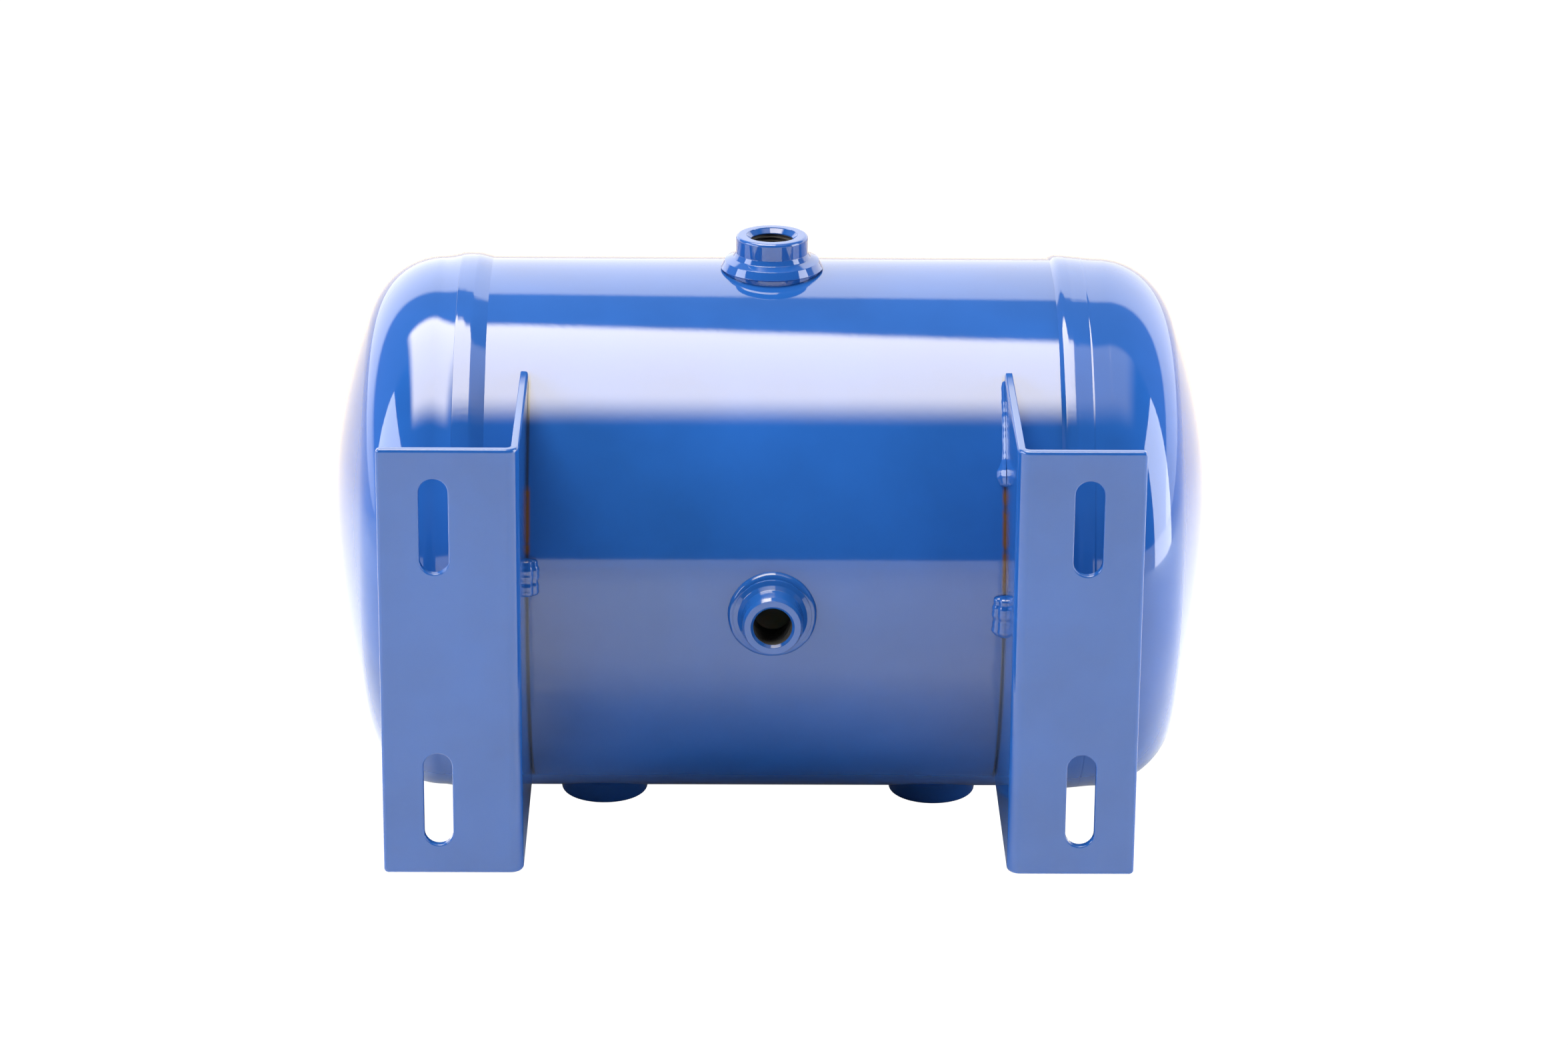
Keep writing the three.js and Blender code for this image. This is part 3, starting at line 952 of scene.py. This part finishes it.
def softbox(sums, rise, side):
    """The large softbox overhead: its back edge slants, and its right-hand part is dimmer."""
    back = sums.math("MULTIPLY", sums.clamp(side, *SLANT_SIDES), SLANT)
    back = sums.math("ADD", back, BACK_EDGE)
    back = sums.math("ADD", back, sums.step(side, *CORNER_SIDES, CORNER_REACH, 0.0))
    beyond = sums.math("SUBTRACT", rise, back)
    box = sums.step(rise, *SOFTBOX_FRONT)
    for edge in (sums.step(beyond, -BACK_SOFTNESS, BACK_SOFTNESS, 1.0, 0.0),
                 sums.step(side, *SOFTBOX_LEFT),
                 sums.step(side, *SOFTBOX_RIGHT, 1.0, 0.0),
                 sums.step(side, *DIMMING, SOFTBOX, SOFTBOX_DIM)):
        box = sums.math("MULTIPLY", box, edge)
    return box


def backdrop(sums, x, y, side):
    """The pale backdrop behind the vessel, with an edge that drops and leans to the sides."""
    lean = sums.math("DIVIDE", sums.clamp(side, -LEAN_SIDE, LEAN_SIDE), LEAN_SIDE)
    tilted = sums.math("ADD", y, sums.math("MULTIPLY", lean, LEAN))
    power, softness = BACKDROP_TAPER
    taper = sums.math("SUBTRACT", 1.0, sums.math("POWER", sums.math("ABSOLUTE", x), power))
    limit = sums.math("MULTIPLY", sums.math("POWER", taper, softness), BACKDROP_LIMIT)
    past = sums.math("SUBTRACT", tilted, limit)
    strength = sums.step(past, *BACKDROP_FADE, BACKDROP_HIGH, BACKDROP_LOW)
    return sums.math("MULTIPLY", strength, sums.step(past, *BACKDROP_EDGE))


def lit_and_seen(nodes, links, light, seen):
    """A shader that lights the vessel as one thing and shows to the camera as another."""
    path = nodes.new("ShaderNodeLightPath")
    mix = nodes.new("ShaderNodeMixShader")
    links.new(path.outputs["Is Camera Ray"], mix.inputs[0])
    links.new(light, mix.inputs[1])
    links.new(seen, mix.inputs[2])
    return mix.outputs[0]


def make_world():
    """A plain studio: a softbox overhead, a backdrop behind, a dim room and a pale table in front."""
    world = bpy.data.worlds.new("studio")
    bpy.context.scene.world = world
    world.use_nodes = True
    nodes, links = world.node_tree.nodes, world.node_tree.links
    nodes.clear()
    sums = Sums(world.node_tree)
    x, y, z = coordinates(nodes, links, "Generated")
    degrees = 180 / math.pi
    rise = sums.math("MULTIPLY", sums.math("ARCTAN2", z, sums.math("MULTIPLY", y, -1.0)), degrees)
    side = sums.math("MULTIPLY", sums.math("ARCSINE", x), degrees)
    box = softbox(sums, rise, side)
    gap_light = sums.step(rise, *GAP_EDGE, ROOM, GAP_LIGHT)
    room = sums.math("MAXIMUM", sums.math("ADD", box, backdrop(sums, x, y, side)), gap_light)
    table = sums.step(rise, *TABLE_EDGE, TABLE, 0.0)
    front = sums.step(y, -0.2, 0.0, 1.0, 0.0)
    room = sums.math("MAXIMUM", room, sums.math("MULTIPLY", table, front))
    pale = nodes.new("ShaderNodeRGB")
    pale.outputs[0].default_value = (*PALE, 1)
    tint = mixed(nodes, links, sums.step(box, 0.0, 1.0), pale.outputs[0], WARM)
    light = nodes.new("ShaderNodeBackground")
    links.new(tint, light.inputs["Color"])
    links.new(room, light.inputs["Strength"])
    white = nodes.new("ShaderNodeBackground")
    white.inputs["Color"].default_value = (1, 1, 1, 1)
    white.inputs["Strength"].default_value = SEEN_WHITE
    output = nodes.new("ShaderNodeOutputWorld")
    shown = lit_and_seen(nodes, links, light.outputs[0], white.outputs[0])
    links.new(shown, output.inputs["Surface"])


def make_floor():
    """A pale floor just under the ports, with a painted shadow of the vessel under it and a darker,
    warmer tint behind it.
    """
    half, low = FLOOR_HALF, cad_bounds[0][2] - FLOOR_DROP
    mesh = bpy.data.meshes.new("floor")
    corners = [(-half, -half, low), (half, -half, low), (half, half, low), (-half, half, low)]
    mesh.from_pydata(corners, [], [(0, 1, 2, 3)])
    floor = add_object("floor", mesh)
    material, nodes, links, shader = new_material("floor_with_painted_shadow")
    sums = Sums(material.node_tree)
    along, across, _ = coordinates(nodes, links)
    beyond = sums.math("SUBTRACT", across, float(AXIS[1] * MM))
    away = sums.math("ADD", sums.math("MULTIPLY", along, along), sums.math("MULTIPLY", beyond, beyond))
    # Painted shadow: the floor's reflectance drops close under the vessel.
    painted_shadow = sums.step(sums.math("SQRT", away), *FLOOR_FADE, FLOOR_PAINTED_SHADOW, FLOOR_FAR)
    paint = nodes.new("ShaderNodeCombineColor")
    for socket, ahead, behind in zip(paint.inputs, FLOOR_AHEAD, FLOOR_BEHIND):
        share = sums.step(beyond, *FLOOR_TURN, ahead, behind)
        links.new(sums.math("MULTIPLY", painted_shadow, share), socket)
    links.new(paint.outputs[0], shader.inputs["Base Color"])
    shader.inputs["Roughness"].default_value = 0.9
    shader.inputs["Specular IOR Level"].default_value = 0.0
    glow = nodes.new("ShaderNodeEmission")
    glow.inputs["Strength"].default_value = SEEN_WHITE
    shown = lit_and_seen(nodes, links, shader.outputs[0], glow.outputs[0])
    links.new(shown, nodes["Material Output"].inputs["Surface"])
    mesh.materials.append(material)


def side_light(name, x, y_range, z_range, radiance):
    """A rectangular light beside the vessel, facing it; places in metres about the axis."""
    width, height = y_range[1] - y_range[0], z_range[1] - z_range[0]
    light = bpy.data.lights.new(name, "AREA")
    light.shape = "RECTANGLE"
    light.size, light.size_y = width, height
    light.energy = radiance * math.pi * width * height
    lamp = add_object(name, light)
    centre = Vector((x, sum(y_range) / 2, sum(z_range) / 2))
    lamp.location = centre + Vector((0, AXIS[1] * MM, 0))
    facing = Vector((1, 0, 0)) if x > 0 else Vector((-1, 0, 0))
    up = Vector((0, 0, 1))
    across = up.cross(facing)
    lamp.rotation_euler = Matrix((across, up, facing)).transposed().to_euler()
    lamp.visible_camera = False


def make_camera():
    """A long lens, a little above the vessel and almost square to it."""
    lens, sensor = 110.7, 36.0
    pitch, yaw, roll = math.radians(19.92), math.radians(0.81), math.radians(0.48)
    target = Vector((0.00549, 0, -0.00071))
    distance = 1.8839
    forward = Vector((0, math.cos(pitch), -math.sin(pitch)))
    right = Vector((1, 0, 0))
    up = right.cross(forward)
    rolled_right = math.cos(roll) * right + math.sin(roll) * up
    rolled_up = -math.sin(roll) * right + math.cos(roll) * up
    turn = Matrix.Rotation(-yaw, 3, "Z")
    camera = bpy.data.cameras.new("camera")
    camera.lens = lens
    camera.sensor_width = sensor
    camera.clip_start, camera.clip_end = 0.05, 100
    viewer = add_object("camera", camera)
    axes = Matrix((turn @ rolled_right, turn @ rolled_up, turn @ -forward)).transposed()
    place = turn @ (target - forward * distance) + Vector((0, AXIS[1] * MM, 0))
    viewer.matrix_world = Matrix.Translation(place) @ axes.to_4x4()
    bpy.context.scene.camera = viewer


# ---------------------------------------------------------------- assembly

make_shell()
for number, (side, sign) in enumerate((("left", -1), ("right", 1))):
    make_head(side, sign)
    make_head_weld(side, sign, 11 + 10 * number)
    make_bracket(side, sign)
make_seam_weld()
for number, name in enumerate(PORTS):
    make_port(name)
    if name in PORT_WELDS:
        make_port_weld(name, 51 + 10 * number)
make_inside_weld(47)
for number, (node, (start, end)) in enumerate(FILLETS.items()):
    make_fillet(node, start, end, 101 + number)

make_world()
make_floor()
side_light("strip_left", -1.2, (-1.20, 0.10), (0.30, 0.93), 9.0)
side_light("strip_right", 1.2, (-0.55, 0.08), (-0.15, 0.90), 9.0)
make_camera()
bpy.context.scene.view_settings.view_transform = "Standard"
